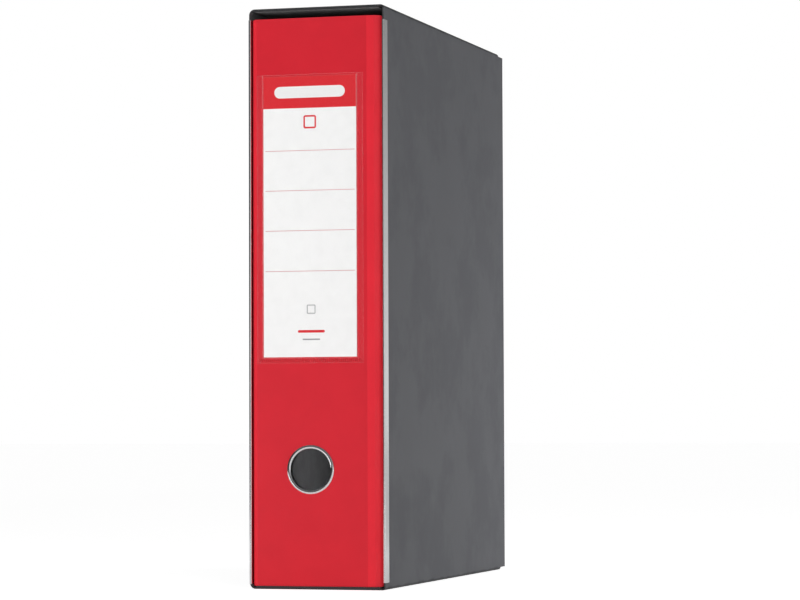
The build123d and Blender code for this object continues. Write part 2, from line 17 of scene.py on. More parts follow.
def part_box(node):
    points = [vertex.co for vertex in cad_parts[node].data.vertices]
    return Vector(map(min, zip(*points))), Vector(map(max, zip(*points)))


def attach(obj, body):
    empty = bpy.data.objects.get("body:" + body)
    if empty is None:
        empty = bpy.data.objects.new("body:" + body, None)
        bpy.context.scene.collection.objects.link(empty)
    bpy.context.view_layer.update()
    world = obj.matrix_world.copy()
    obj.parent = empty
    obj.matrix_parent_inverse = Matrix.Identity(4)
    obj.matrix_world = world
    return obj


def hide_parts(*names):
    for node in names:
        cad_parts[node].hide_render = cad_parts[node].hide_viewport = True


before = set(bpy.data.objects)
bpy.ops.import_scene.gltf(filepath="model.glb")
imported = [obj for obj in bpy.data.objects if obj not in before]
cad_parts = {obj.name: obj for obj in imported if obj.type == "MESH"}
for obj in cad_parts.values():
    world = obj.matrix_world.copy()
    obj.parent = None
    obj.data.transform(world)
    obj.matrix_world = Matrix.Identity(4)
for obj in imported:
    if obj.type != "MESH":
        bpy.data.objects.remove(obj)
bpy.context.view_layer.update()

log = logging.getLogger("lever_arch_file")
MM = 0.001

Feed = float | tuple | NodeSocket
Colour = tuple[float, float, float]


# ---------------------------------------------------------------- node trees
class Sum(Enum):
    """Operations of a Math node used by the finishes."""

    ADD = "ADD"
    SUBTRACT = "SUBTRACT"
    MULTIPLY = "MULTIPLY"
    MAXIMUM = "MAXIMUM"
    MINIMUM = "MINIMUM"
    ABSOLUTE = "ABSOLUTE"
    ROOT = "SQRT"
    SINE = "SINE"
    GREATER = "GREATER_THAN"
    LESS = "LESS_THAN"


class Canvas:
    """A node tree being drawn, with short calls for the nodes that the finishes share."""

    def __init__(self, tree: NodeTree) -> None:
        """Start drawing on the tree of a material or a group."""
        self.tree = tree

    def node(self, kind: str, **settings: object) -> Node:
        """Place a node and set its properties.

        Args:
            kind: the node's type name in Blender.
            settings: properties set on the node.

        Returns:
            The new node.
        """
        placed = self.tree.nodes.new(kind)
        for name, value in settings.items():
            setattr(placed, name, value)
        placed.location = (len(self.tree.nodes) * 180, 0)
        return placed

    def feed(self, socket: NodeSocket, value: Feed) -> None:
        """Give an input a link or a constant.

        Args:
            socket: the input.
            value: an output to link, or the constant.
        """
        if isinstance(value, NodeSocket):
            self.tree.links.new(value, socket)
        elif isinstance(value, tuple) and len(value) == 3 and len(socket.default_value) == 4:
            socket.default_value = (*value, 1.0)
        else:
            socket.default_value = value

    def fill(self, node: Node, **values: Feed) -> None:
        """Feed several inputs of a node, named with _ for a space."""
        for name, value in values.items():
            self.feed(node.inputs[name.replace("_", " ")], value)

    def math(self, operation: Sum, first: Feed, second: Feed = 0.0, clamp: bool = False) -> NodeSocket:
        """One Math node.

        Args:
            operation: what it works out.
            first: first number.
            second: second number.
            clamp: keep the result from 0 to 1.

        Returns:
            The result.
        """
        placed = self.node("ShaderNodeMath", operation=operation.value, use_clamp=clamp)
        self.feed(placed.inputs[0], first)
        self.feed(placed.inputs[1], second)
        return placed.outputs[0]

    def span(
        self, value: Feed, low: Feed, high: Feed, to_low: Feed = 0.0, to_high: Feed = 1.0,
    ) -> NodeSocket:
        """Map a value from one range to another, smoothly and clamped.

        Args:
            value: what is mapped.
            low: value that gives to_low.
            high: value that gives to_high.
            to_low: result at low.
            to_high: result at high.

        Returns:
            The mapped value.
        """
        placed = self.node("ShaderNodeMapRange", interpolation_type="SMOOTHSTEP")
        for socket, given in zip(placed.inputs[:5], (value, low, high, to_low, to_high)):
            self.feed(socket, given)
        return placed.outputs[0]

    def mix(self, factor: Feed, first: Feed, second: Feed, blend: str = "MIX") -> NodeSocket:
        """Mix two colours.

        Args:
            factor: share of the second.
            first: colour at 0.
            second: colour at 1.
            blend: the way they mix.

        Returns:
            The mixed colour.
        """
        placed = self.node("ShaderNodeMix", data_type="RGBA", blend_type=blend)
        self.feed(placed.inputs["Factor"], factor)
        self.feed(placed.inputs[6], first)
        self.feed(placed.inputs[7], second)
        return placed.outputs[2]

    def toned(self, colour: Feed, value: Feed, dark: float, light: float) -> NodeSocket:
        """Shade a colour by a value around a half, from its dark factor to its light one."""
        return self.mix(1.0, colour, self.span(value, 0.3, 0.7, dark, light), "MULTIPLY")

    def axes(self, vector: NodeSocket) -> tuple[NodeSocket, NodeSocket, NodeSocket]:
        """Split a vector.

        Args:
            vector: the vector.

        Returns:
            Its X, Y and Z.
        """
        placed = self.node("ShaderNodeSeparateXYZ")
        self.feed(placed.inputs[0], vector)
        return tuple(placed.outputs)

    def vector(self, *axes: Feed) -> NodeSocket:
        """Join numbers into a vector.

        Args:
            axes: X, Y and Z.

        Returns:
            The vector.
        """
        placed = self.node("ShaderNodeCombineXYZ")
        for socket, value in zip(placed.inputs, axes):
            self.feed(socket, value)
        return placed.outputs[0]

    def pair(self, operation: str, first: Feed, second: Feed) -> Node:
        """Vector Math node fed with two vectors.

        Args:
            operation: its name in Blender.
            first: first vector.
            second: second vector.

        Returns:
            The node, with its outputs Vector and Value.
        """
        placed = self.node("ShaderNodeVectorMath", operation=operation)
        self.feed(placed.inputs[0], first)
        self.feed(placed.inputs[1], second)
        return placed

    def scaled(self, vector: NodeSocket, scale: tuple[float, float, float]) -> NodeSocket:
        """Stretch coordinates about the origin.

        Args:
            vector: the coordinates.
            scale: factor for each axis.

        Returns:
            The stretched coordinates.
        """
        placed = self.node("ShaderNodeMapping")
        self.fill(placed, Vector=vector, Scale=scale)
        return placed.outputs[0]

    def facing(self) -> tuple[NodeSocket, NodeSocket, NodeSocket]:
        """X, Y and Z of the flat face normal."""
        return self.axes(self.node("ShaderNodeNewGeometry").outputs["True Normal"])

    def noise(self, vector: Feed, scale: Feed, detail: float = 3.0, rough: float = 0.55) -> NodeSocket:
        """Noise from 0 to 1.

        Args:
            vector: where it is read.
            scale: cycles in a metre.
            detail: number of octaves.
            rough: weight of the finer octaves.

        Returns:
            The noise value.
        """
        placed = self.node("ShaderNodeTexNoise", noise_dimensions="3D")
        self.fill(placed, Vector=vector, Scale=scale, Detail=detail, Roughness=rough)
        return placed.outputs["Fac"]

    def use(self, effect: "SharedEffect", place: NodeSocket, **values: Feed) -> Node:
        """Place a shared effect.

        Args:
            effect: the effect.
            place: Object coordinates.
            values: its other inputs, with _ for a space in their names.

        Returns:
            The group node.
        """
        placed = self.node("ShaderNodeGroup")
        placed.node_tree = effects.get(effect)
        self.fill(placed, Place=place, **values)
        return placed

    def bump(
        self, height: NodeSocket, depth: float, strength: float = 1.0, under: NodeSocket | None = None,
    ) -> NodeSocket:
        """Turn heights into a normal.

        Args:
            height: from 0 to 1.
            depth: metres that a height of 1 stands for.
            strength: share of the effect that is kept.
            under: a normal that this one lies on.

        Returns:
            The bumped normal.
        """
        placed = self.node("ShaderNodeBump")
        self.fill(placed, Height=height, Distance=depth, Strength=strength)
        if under is not None:
            self.feed(placed.inputs["Normal"], under)
        return placed.outputs[0]


class SharedEffect(Enum):
    """Effects that several finishes use, each one node group."""

    PAPER_GRAIN = "paper_grain"
    WORN_AND_GLINTING_EDGES = "worn_and_glinting_edges"
    FINE_GRAIN = "fine_grain"
    BRUSHING = "brushing"
    SMUDGES = "smudges"
    PRINTED_BOX = "printed_box"
    FACING_IN = "facing_in"


class EffectShelf:
    """Builds each shared effect once and keeps it."""

    def __init__(self) -> None:
        """Start with no effect built."""
        self.built: dict[SharedEffect, NodeTree] = {}

    def get(self, effect: SharedEffect) -> NodeTree:
        """The node group of an effect, built at its first use.

        Args:
            effect: the effect.

        Returns:
            Its group.
        """
        if effect not in self.built:
            self.built[effect] = getattr(self, f"_{effect.value}")()
        return self.built[effect]

    @staticmethod
    def _group(
        effect: SharedEffect, inputs: dict[str, float | str], outputs: list[str],
    ) -> tuple[Canvas, NodeOutputs, NodeInputs]:
        """Start a group.

        Args:
            effect: the effect that the group holds.
            inputs: name to starting value, or to the word vector.
            outputs: names of the values that it puts out.

        Returns:
            A canvas on the group, the values given to it and the sockets that it puts out.
        """
        tree = bpy.data.node_groups.new(effect.value, "ShaderNodeTree")
        for label, value in inputs.items():
            kind = "NodeSocketVector" if value == "vector" else "NodeSocketFloat"
            socket = tree.interface.new_socket(label, in_out="INPUT", socket_type=kind)
            if kind == "NodeSocketFloat":
                socket.default_value = value
        for label in outputs:
            tree.interface.new_socket(label, in_out="OUTPUT", socket_type="NodeSocketFloat")
        given = tree.nodes.new("NodeGroupInput")
        made = tree.nodes.new("NodeGroupOutput")
        return Canvas(tree), given.outputs, made.inputs

    def _paper_grain(self) -> NodeTree:
        """Cloudy tone and felted fibres of paper or board.

        Returns:
            The group.
        """
        inputs = {"Place": "vector", "Cloud": 60.0, "Fibre": 1600.0}
        draw, given, made = self._group(SharedEffect.PAPER_GRAIN, inputs, ["Tone", "Height"])
        place = given["Place"]
        cloud = draw.noise(place, given["Cloud"], 5.0, 0.6)
        fibre = draw.noise(draw.scaled(place, (1.0, 1.0, 0.35)), given["Fibre"], 4.0, 0.7)
        speck = draw.noise(place, draw.math(Sum.MULTIPLY, given["Fibre"], 0.4), 2.0, 0.5)
        blends = {"Tone": ((cloud, 0.7), (fibre, 0.3)), "Height": ((fibre, 0.6), (speck, 0.4))}
        for label, shares in blends.items():
            parts = (draw.math(Sum.MULTIPLY, value, share) for value, share in shares)
            draw.feed(made[label], draw.math(Sum.ADD, *parts))
        return draw.tree

    def _worn_and_glinting_edges(self) -> NodeTree:
        """Mask of the edges, broken up by noise.

        Returns:
            The group.
        """
        inputs = {"Place": "vector", "Radius": 0.001, "Break up": 0.4}
        draw, given, made = self._group(SharedEffect.WORN_AND_GLINTING_EDGES, inputs, ["Mask"])
        rounded = draw.node("ShaderNodeBevel", samples=6)
        draw.feed(rounded.inputs["Radius"], given["Radius"])
        flat = draw.node("ShaderNodeNewGeometry").outputs["Normal"]
        dot = draw.pair("DOT_PRODUCT", rounded.outputs[0], flat)
        turned = draw.math(Sum.SUBTRACT, 1.0, dot.outputs["Value"])
        broken = draw.math(Sum.MULTIPLY, draw.noise(given["Place"], 260.0, 4.0, 0.65), given["Break up"])
        draw.feed(made["Mask"], draw.span(draw.math(Sum.SUBTRACT, turned, broken), 0.0, 0.18))
        return draw.tree

    def _fine_grain(self) -> NodeTree:
        """Close pebbled grain of moulded or calendered plastic.

        Returns:
            The group.
        """
        draw, given, made = self._group(
            SharedEffect.FINE_GRAIN, {"Place": "vector", "Scale": 2500.0}, ["Height"]
        )
        cells = draw.node("ShaderNodeTexVoronoi", feature="SMOOTH_F1")
        draw.fill(cells, Vector=given["Place"], Scale=given["Scale"])
        soft = draw.noise(given["Place"], draw.math(Sum.MULTIPLY, given["Scale"], 0.5), 3.0, 0.6)
        draw.feed(made["Height"], draw.math(Sum.ADD, cells.outputs["Distance"], soft))
        return draw.tree

    def _brushing(self) -> NodeTree:
        """Fine lines along Z and faint spots of a brushed or drawn metal.

        Returns:
            The group.
        """
        inputs = {"Place": "vector", "Lines": 3000.0, "Run": 40.0}
        draw, given, made = self._group(SharedEffect.BRUSHING, inputs, ["Line", "Spot"])
        repeats = draw.vector(given["Lines"], given["Lines"], given["Run"])
        drawn = draw.pair("MULTIPLY", given["Place"], repeats).outputs["Vector"]
        draw.feed(made["Line"], draw.noise(drawn, 1.0, 4.0, 0.6))
        draw.feed(made["Spot"], draw.noise(given["Place"], 140.0, 4.0, 0.7))
        return draw.tree

    def _smudges(self) -> NodeTree:
        """Broad soft patches from handling, for roughness.

        Returns:
            The group.
        """
        draw, given, made = self._group(SharedEffect.SMUDGES, {"Place": "vector", "Scale": 22.0}, ["Mask"])
        warp = draw.noise(given["Place"], given["Scale"], 4.0, 0.62)
        draw.feed(made["Mask"], draw.span(warp, 0.38, 0.68))
        return draw.tree

    def _printed_box(self) -> NodeTree:
        """Mask of a box with rounded corners in the plane of X and Z.

        Returns:
            The group.
        """
        draw, given, made = self._group(
            SharedEffect.PRINTED_BOX,
            {"Place": "vector", "Centre X": 0.0, "Centre Z": 0.0, "Half width": 0.01,
             "Half height": 0.01, "Round": 0.0, "Blur": 0.00008},
            ["Mask"],
        )
        x, _, z = draw.axes(given["Place"])
        reach = []
        for value, centre, half in ((x, "Centre X", "Half width"), (z, "Centre Z", "Half height")):
            away = draw.math(Sum.ABSOLUTE, draw.math(Sum.SUBTRACT, value, given[centre]))
            inner = draw.math(Sum.SUBTRACT, given[half], given["Round"])
            reach.append(draw.math(Sum.SUBTRACT, away, inner))
        past = [draw.math(Sum.MAXIMUM, value, 0.0) for value in reach]
        squares = [draw.math(Sum.MULTIPLY, value, value) for value in past]
        outside = draw.math(Sum.ROOT, draw.math(Sum.ADD, *squares))
        inside = draw.math(Sum.MINIMUM, draw.math(Sum.MAXIMUM, *reach), 0.0)
        edge = draw.math(Sum.SUBTRACT, draw.math(Sum.ADD, outside, inside), given["Round"])
        blur = given["Blur"]
        draw.feed(made["Mask"], draw.span(edge, draw.math(Sum.MULTIPLY, blur, -1.0), blur, 1.0, 0.0))
        return draw.tree

    def _facing_in(self) -> NodeTree:
        """Mask of the faces of a shell that look towards its middle.

        Returns:
            The group.
        """
        inputs = {"Place": "vector", "Middle X": 0.0, "Middle Y": 0.0, "Middle Z": 0.0}
        draw, given, made = self._group(SharedEffect.FACING_IN, inputs, ["Mask"])
        middle = draw.vector(*(given[f"Middle {axis}"] for axis in "XYZ"))
        away = draw.pair("SUBTRACT", given["Place"], middle).outputs["Vector"]
        normal = draw.node("ShaderNodeNewGeometry").outputs["Normal"]
        dot = draw.pair("DOT_PRODUCT", away, normal)
        draw.feed(made["Mask"], draw.math(Sum.LESS, dot.outputs["Value"], 0.0))
        return draw.tree


effects = EffectShelf()


class Surface(Canvas):
    """The canvas of a new material, with its shader and the Object coordinates of the shaded point."""

    def __init__(self, name: str) -> None:
        """Start a material.

        Args:
            name: the material's name.
        """
        self.material = bpy.data.materials.new(name)
        self.material.use_nodes = True
        self.material.node_tree.nodes.clear()
        super().__init__(self.material.node_tree)
        self.shader = self.node("ShaderNodeBsdfPrincipled")
        output = self.node("ShaderNodeOutputMaterial")
        self.feed(output.inputs["Surface"], self.shader.outputs[0])
        self.place = self.node("ShaderNodeTexCoord").outputs["Object"]

    def finish(self, **values: Feed) -> None:
        """Feed inputs of the shader, named with _ for a space."""
        self.fill(self.shader, **values)


# ---------------------------------------------------------------- finishes
@dataclass(frozen=True)
class Finish:
    """A surface finish: its name, the record's slot it stands for, and its plain values."""

    name: str
    slot: str
    base: Colour
    roughness: float = 0.5
    metallic: float = 0.0
    specular: float = 0.5

    def material(self) -> Material:
        """Build the finish.

        Returns:
            A new material with its node tree drawn.
        """
        surface = Surface(self.name)
        surface.finish(
            Base_Color=self.base, Roughness=self.roughness, Metallic=self.metallic,
            Specular_IOR_Level=self.specular,
        )
        self.draw(surface)
        return surface.material

    def draw(self, draw: Surface) -> None:
        """Draw what makes this finish more than one colour."""
        raise NotImplementedError


@dataclass(frozen=True)
class CoveringPaper(Finish):
    """Dark covering paper glued on board, with the bare board inside and painted shade along the long
    folds.
    """

    inner: Colour = (0.10, 0.10, 0.102)
    # Painted shade: the dark colour laid along the rounded folds at roof and floor.
    fold_painted_shade: Colour = (0.020, 0.021, 0.023)
    cut: Colour = (0.034, 0.034, 0.036)
    cloud: float = 30.0
    middle: tuple[float, float, float] = (0.0, 0.0, 0.175)
    half_width: float = 0.0425
    half_height: float = 0.175
    fold_shade_reach: float = 0.0026

    def draw(self, draw: Surface) -> None:
        """Draw cloudy tone, fibres, painted shade along the folds, cut front edges and the inner faces.

        Args:
            draw: the material being drawn.
        """
        place = draw.place
        grain = draw.use(SharedEffect.PAPER_GRAIN, place, Cloud=self.cloud, Fibre=1500.0)
        inward = draw.use(
            SharedEffect.FACING_IN, place,
            Middle_X=self.middle[0], Middle_Y=self.middle[1], Middle_Z=self.middle[2],
        ).outputs["Mask"]
        _, front_facing, _ = draw.facing()
        cut = draw.math(Sum.LESS, front_facing, -0.7)
        plain = draw.mix(inward, draw.mix(cut, self.base, self.cut), self.inner)
        toned = draw.toned(plain, grain.outputs["Tone"], 0.96, 1.04)
        # Painted shade along the folds, on the outer faces only.
        fold_shade = draw.math(Sum.MULTIPLY, self._fold_shade_mask(draw), draw.math(Sum.SUBTRACT, 1.0, inward))
        smudge = draw.use(SharedEffect.SMUDGES, place, Scale=18.0).outputs["Mask"]
        draw.finish(
            Base_Color=draw.mix(fold_shade, toned, self.fold_painted_shade),
            Roughness=draw.span(smudge, 0.0, 1.0, self.roughness - 0.05, self.roughness + 0.06),
            Normal=draw.bump(grain.outputs["Height"], 0.00006, 0.55),
        )

    def _fold_shade_mask(self, draw: Surface) -> NodeSocket:
        """Mask of the painted shade along the four long folds, where side and roof or floor meet.

        Args:
            draw: the material being drawn.

        Returns:
            The mask, a little uneven along the fold.
        """
        x, _, z = draw.axes(draw.place)
        over = draw.math(Sum.SUBTRACT, draw.math(Sum.ABSOLUTE, x), self.half_width - self.fold_shade_reach)
        height = draw.math(Sum.ABSOLUTE, draw.math(Sum.SUBTRACT, z, self.middle[2]))
        up = draw.math(Sum.SUBTRACT, height, self.half_height - self.fold_shade_reach)
        uneven = draw.span(draw.noise(draw.place, 90.0, 3.0, 0.6), 0.3, 0.7, -0.0004, 0.0004)
        near = draw.math(Sum.ADD, draw.math(Sum.MINIMUM, over, up), uneven)
        return draw.span(near, 0.0, self.fold_shade_reach * 0.7)


@dataclass(frozen=True)
class RawBoard(Finish):
    """Pressed grey board with flecks of fibre."""

    fleck: Colour = (0.20, 0.17, 0.13)

    def draw(self, draw: Surface) -> None:
        """Draw cloudy tone, flecks and a felted surface.

        Args:
            draw: the material being drawn.
        """
        place = draw.place
        grain = draw.use(SharedEffect.PAPER_GRAIN, place, Cloud=220.0, Fibre=2200.0)
        flecks = draw.span(draw.noise(draw.scaled(place, (1.0, 1.0, 0.3)), 900.0, 2.0, 0.5), 0.66, 0.72)
        toned = draw.toned(self.base, grain.outputs["Tone"], 0.82, 1.12)
        draw.finish(
            Base_Color=draw.mix(flecks, toned, self.fleck),
            Normal=draw.bump(grain.outputs["Height"], 0.00012, 0.7),
        )


@dataclass(frozen=True)
class LiningPaper(Finish):
    """Smooth dark endpaper with a fine laid line."""

    def draw(self, draw: Surface) -> None:
        """Draw tone, laid lines and fibres.

        Args:
            draw: the material being drawn.
        """
        place = draw.place
        grain = draw.use(SharedEffect.PAPER_GRAIN, place, Cloud=90.0, Fibre=2400.0)
        _, _, z = draw.axes(place)
        laid = draw.math(Sum.SINE, draw.math(Sum.MULTIPLY, z, 6000.0))
        felt = draw.math(Sum.ADD, draw.math(Sum.MULTIPLY, laid, 0.15), grain.outputs["Height"])
        toned = draw.toned(self.base, grain.outputs["Tone"], 0.85, 1.15)
        draw.finish(Base_Color=toned, Normal=draw.bump(felt, 0.00005, 0.6))


@dataclass(frozen=True)
class CoverFilm(Finish):
    """Coloured plastic film: calendered grain, welded border, paler where it is creased, and painted light
    on the hinges.
    """

    low: tuple[float, float, float] = (0.0, 0.0, 0.0)
    high: tuple[float, float, float] = (0.0, 0.0, 0.0)
    spine: tuple[float, float] = (0.0, 0.0)
    stressed: Colour = (0.80, 0.09, 0.10)
    # Painted light: factor that brightens the film's colour on the hinges, so they read as lit.
    hinge_painted_light: float = 1.22
    hinge_reach: float = 0.0075
    welded_border: float = 0.0045
    weld_width: float = 0.0007

    def draw(self, draw: Surface) -> None:
        """Draw grain, the weld line round the covers, creases, painted light on the hinges and smudges.

        Args:
            draw: the material being drawn.
        """
        place = draw.place
        _, y, z = draw.axes(place)
        grain = draw.use(SharedEffect.FINE_GRAIN, place, Scale=1900.0).outputs["Height"]
        creases = draw.use(SharedEffect.WORN_AND_GLINTING_EDGES, place, Radius=0.0008, Break_up=0.25)
        toned = draw.toned(self.base, draw.noise(place, 35.0, 4.0, 0.6), 0.97, 1.03)
        # Painted light: brighter colour on the hinges.
        hinge_light_factor = draw.span(self._hinge_light_mask(draw), 0.0, 1.0, 1.0, self.hinge_painted_light)
        hinge_lit = draw.mix(1.0, toned, hinge_light_factor, "MULTIPLY")
        pale = draw.math(Sum.MULTIPLY, creases.outputs["Mask"], 0.28)
        to_ends = (draw.math(Sum.SUBTRACT, z, self.low[2]), draw.math(Sum.SUBTRACT, self.high[2], z))
        from_ends = draw.math(Sum.MINIMUM, *to_ends)
        from_edge = draw.math(Sum.MINIMUM, from_ends, draw.math(Sum.SUBTRACT, self.high[1], y))
        off_line = draw.math(Sum.ABSOLUTE, draw.math(Sum.SUBTRACT, from_edge, self.welded_border))
        weld = draw.span(off_line, 0.0, self.weld_width)
        on_cover = draw.math(Sum.GREATER, y, self.low[1] + self.hinge_reach)
        groove = draw.math(Sum.MAXIMUM, weld, draw.math(Sum.SUBTRACT, 1.0, on_cover))
        fine = draw.bump(grain, 0.000012, 0.5)
        smudge = draw.use(SharedEffect.SMUDGES, place, Scale=24.0).outputs["Mask"]
        draw.finish(
            Base_Color=draw.mix(pale, hinge_lit, self.stressed),
            Roughness=draw.span(smudge, 0.0, 1.0, self.roughness - 0.03, self.roughness + 0.05),
            Normal=draw.bump(groove, 0.0003, 0.8, fine),
        )

    def _hinge_light_mask(self, draw: Surface) -> NodeSocket:
        """Mask of the hinges, where no board lies under the film, which get the painted light.

        Args:
            draw: the material being drawn.

        Returns:
            The mask.
        """
        x, y, _ = draw.axes(draw.place)
        middle = (self.spine[0] + self.spine[1]) / 2
        half = (self.spine[1] - self.spine[0]) / 2
        aside = draw.math(Sum.ABSOLUTE, draw.math(Sum.SUBTRACT, x, middle))
        off_board = draw.span(aside, half - 0.0004, half + 0.0004)
        in_front = draw.span(y, self.low[1] + self.hinge_reach, self.low[1] + self.hinge_reach - 0.001)
        return draw.math(Sum.MULTIPLY, off_board, in_front)


@dataclass(frozen=True)
class ClearFilm(Finish):
    """Clear pocket film: seen by its gloss, painted glints along its edges and its welded border."""

    low: tuple[float, float, float] = (0.0, 0.0, 0.0)
    high: tuple[float, float, float] = (0.0, 0.0, 0.0)
    haze: float = 0.002
    # Painted highlight: how much of the white film shows along its edges, as glints.
    edge: float = 0.22
    weld: float = 0.0036
    weld_haze: float = 0.012

    def draw(self, draw: Surface) -> None:
        """Draw how much of the film shows.

        Args:
            draw: the material being drawn.
        """
        place = draw.place
        facing = draw.node("ShaderNodeLayerWeight")
        facing.inputs["Blend"].default_value = 0.18
        # Painted highlight: white glints along the pocket's edges.
        edge_glints = draw.use(SharedEffect.WORN_AND_GLINTING_EDGES, place, Radius=0.0004, Break_up=0.1)
        sheen = draw.math(Sum.MULTIPLY, facing.outputs["Fresnel"], 0.05)
        seen = draw.math(Sum.ADD, sheen, self.haze)
        border = draw.use(
            SharedEffect.PRINTED_BOX, place,
            Centre_X=(self.low[0] + self.high[0]) / 2,
            Centre_Z=(self.low[2] + self.high[2]) / 2 + self.weld,
            Half_width=(self.high[0] - self.low[0]) / 2 - self.weld,
            Half_height=(self.high[2] - self.low[2]) / 2, Blur=0.0003,
        ).outputs["Mask"]
        welded = draw.math(Sum.MULTIPLY, draw.math(Sum.SUBTRACT, 1.0, border), self.weld_haze)
        alpha = draw.math(Sum.MAXIMUM, seen, draw.math(Sum.MULTIPLY, edge_glints.outputs["Mask"], self.edge))
        ripple = draw.noise(draw.scaled(place, (1.0, 1.0, 0.25)), 70.0, 2.0, 0.5)
        smudge = draw.use(SharedEffect.SMUDGES, place, Scale=40.0).outputs["Mask"]
        draw.finish(
            Alpha=draw.math(Sum.ADD, alpha, welded, clamp=True),
            Roughness=draw.span(smudge, 0.0, 1.0, 0.08, 0.16), Normal=draw.bump(ripple, 0.0006, 0.35),
        )


@dataclass(frozen=True)
class PrintedArea:
    """One printed box on the label, measured from the label's left and lower edges."""

    left: float
    low: float
    width: float
    height: float
    ink: Colour
    round: float = 0.0
    line: float = 0.0


@dataclass(frozen=True)
class LabelCard(Finish):
    """White card with a coloured head, ruled lines and plain placeholder marks."""

    corner: tuple[float, float] = (-0.0336, 0.1392)
    front: float = -0.1418
    areas: tuple[PrintedArea, ...] = ()

    def draw(self, draw: Surface) -> None:
        """Draw the card's grain and everything printed on its front.

        Args:
            draw: the material being drawn.
        """
        place = draw.place
        grain = draw.use(SharedEffect.PAPER_GRAIN, place, Cloud=150.0, Fibre=3200.0)
        _, y, _ = draw.axes(place)
        on_front = draw.math(Sum.LESS, y, self.front)
        colour = draw.toned(self.base, grain.outputs["Tone"], 0.97, 1.02)
        for area in self.areas:
            mask = self._box(draw, area, 0.0)
            if area.line:
                hollow = self._box(draw, area, area.line)
                mask = draw.math(Sum.SUBTRACT, mask, hollow, clamp=True)
            colour = draw.mix(draw.math(Sum.MULTIPLY, mask, on_front), colour, area.ink)
        draw.finish(Base_Color=colour, Normal=draw.bump(grain.outputs["Height"], 0.00002, 0.5))

    def _box(self, draw: Surface, area: PrintedArea, inset: float) -> NodeSocket:
        """Mask of an area, or of its inside.

        Args:
            draw: the material being drawn.
            area: what is printed.
            inset: metres taken off all round.

        Returns:
            The mask.
        """
        return draw.use(
            SharedEffect.PRINTED_BOX, draw.place,
            Centre_X=self.corner[0] + area.left + area.width / 2,
            Centre_Z=self.corner[1] + area.low + area.height / 2,
            Half_width=area.width / 2 - inset, Half_height=area.height / 2 - inset,
            Round=max(area.round - inset, 0.0),
        ).outputs["Mask"]


@dataclass(frozen=True)
class PlatedMetal(Finish):
    """Plated steel: drawn or brushed lines along Z, spots in the plating, brighter worn edges."""

    lines: float = 3000.0
    run: float = 40.0
    depth: float = 0.000004
    spots: float = 0.06
    edge: Colour = (0.95, 0.95, 0.96)
    edge_radius: float = 0.0004

    def draw(self, draw: Surface) -> None:
        """Draw lines, spots and edges.

        Args:
            draw: the material being drawn.
        """
        place = draw.place
        brushed = draw.use(SharedEffect.BRUSHING, place, Lines=self.lines, Run=self.run)
        worn = draw.use(SharedEffect.WORN_AND_GLINTING_EDGES, place, Radius=self.edge_radius, Break_up=0.3)
        shade = draw.span(brushed.outputs["Spot"], 0.3, 0.75, 1.0, 1.0 - self.spots)
        toned = draw.mix(1.0, self.base, shade, "MULTIPLY")
        line = brushed.outputs["Line"]
        draw.finish(
            Base_Color=draw.mix(worn.outputs["Mask"], toned, self.edge),
            Roughness=draw.span(line, 0.3, 0.7, self.roughness * 0.8, self.roughness * 1.25),
            Normal=draw.bump(line, self.depth, 0.6),
        )


@dataclass(frozen=True)
class MouldedPlastic(Finish):
    """Spark-eroded moulded plastic, shinier where fingers rub it."""

    rubbed: Colour = (0.06, 0.06, 0.062)

    def draw(self, draw: Surface) -> None:
        """Draw grain and rubbed edges.

        Args:
            draw: the material being drawn.
        """
        place = draw.place
        grain = draw.use(SharedEffect.FINE_GRAIN, place, Scale=3600.0).outputs["Height"]
        worn = draw.use(SharedEffect.WORN_AND_GLINTING_EDGES, place, Radius=0.0006, Break_up=0.3).outputs["Mask"]
        toned = draw.toned(self.base, draw.noise(place, 120.0, 3.0, 0.6), 0.9, 1.1)
        draw.finish(
            Base_Color=draw.mix(worn, toned, self.rubbed),
            Roughness=draw.span(worn, 0.0, 1.0, self.roughness, self.roughness - 0.18),
            Normal=draw.bump(grain, 0.00002, 0.6),
        )


class Palette:
    """The finishes of this object, each made into a material once."""

    def __init__(self) -> None:
        """Start with no material made."""
        self.made: dict[str, Material] = {}

    def material(self, finish: Finish) -> Material:
        """The material of a finish, made at its first use.

        Args:
            finish: the finish.

        Returns:
            Its material.
        """
        if finish.name not in self.made:
            self.made[finish.name] = finish.material()
        return self.made[finish.name]

    def dress(self, piece: Object, finish: Finish) -> None:
        """Put a finish on a piece.

        Args:
            piece: a CAD node or a new piece.
            finish: the finish it gets.
        """
        material = self.material(finish)
        if not piece.material_slots:
            piece.data.materials.append(material)
        for slot in piece.material_slots:
            slot.material = material


palette = Palette()

CASE_PAPER = CoveringPaper(
    "slipcase covering paper", "case_board", (0.080, 0.082, 0.090), roughness=0.62,
)
# Partly painted light: the liner's inner faces are lightened to 0.24, above their own grey, so the gap
# under the roof reads lit.
LINER_PAPER = CoveringPaper(
    "slipcase liner with painted light inside", "case_board", (0.10, 0.10, 0.102), roughness=0.7, inner=(0.24, 0.24, 0.243),
)
STRIP_STEEL = PlatedMetal(
    "bright edge strip", "edge_steel", (0.86, 0.86, 0.87), roughness=0.14, metallic=1.0,
)
RING_CHROME = PlatedMetal(
    "polished ring chrome", "ring_chrome", (0.9, 0.9, 0.91), roughness=0.06, metallic=1.0,
    depth=0.000001, spots=0.03,
)
GREY_BOARD = RawBoard("grey board", "cover_board", (0.40, 0.375, 0.33), roughness=0.85)
DARK_LINING = LiningPaper("dark lining paper", "lining_paper", (0.10, 0.10, 0.104), roughness=0.7)
MECHANISM_STEEL = PlatedMetal(
    "nickelled sheet steel", "mechanism_steel", (0.70, 0.70, 0.71), roughness=0.28, metallic=1.0,
    lines=1800.0,
)
WIRE_STEEL = PlatedMetal(
    "nickelled wire", "wire_steel", (0.80, 0.80, 0.81), roughness=0.14, metallic=1.0, lines=2600.0,
)
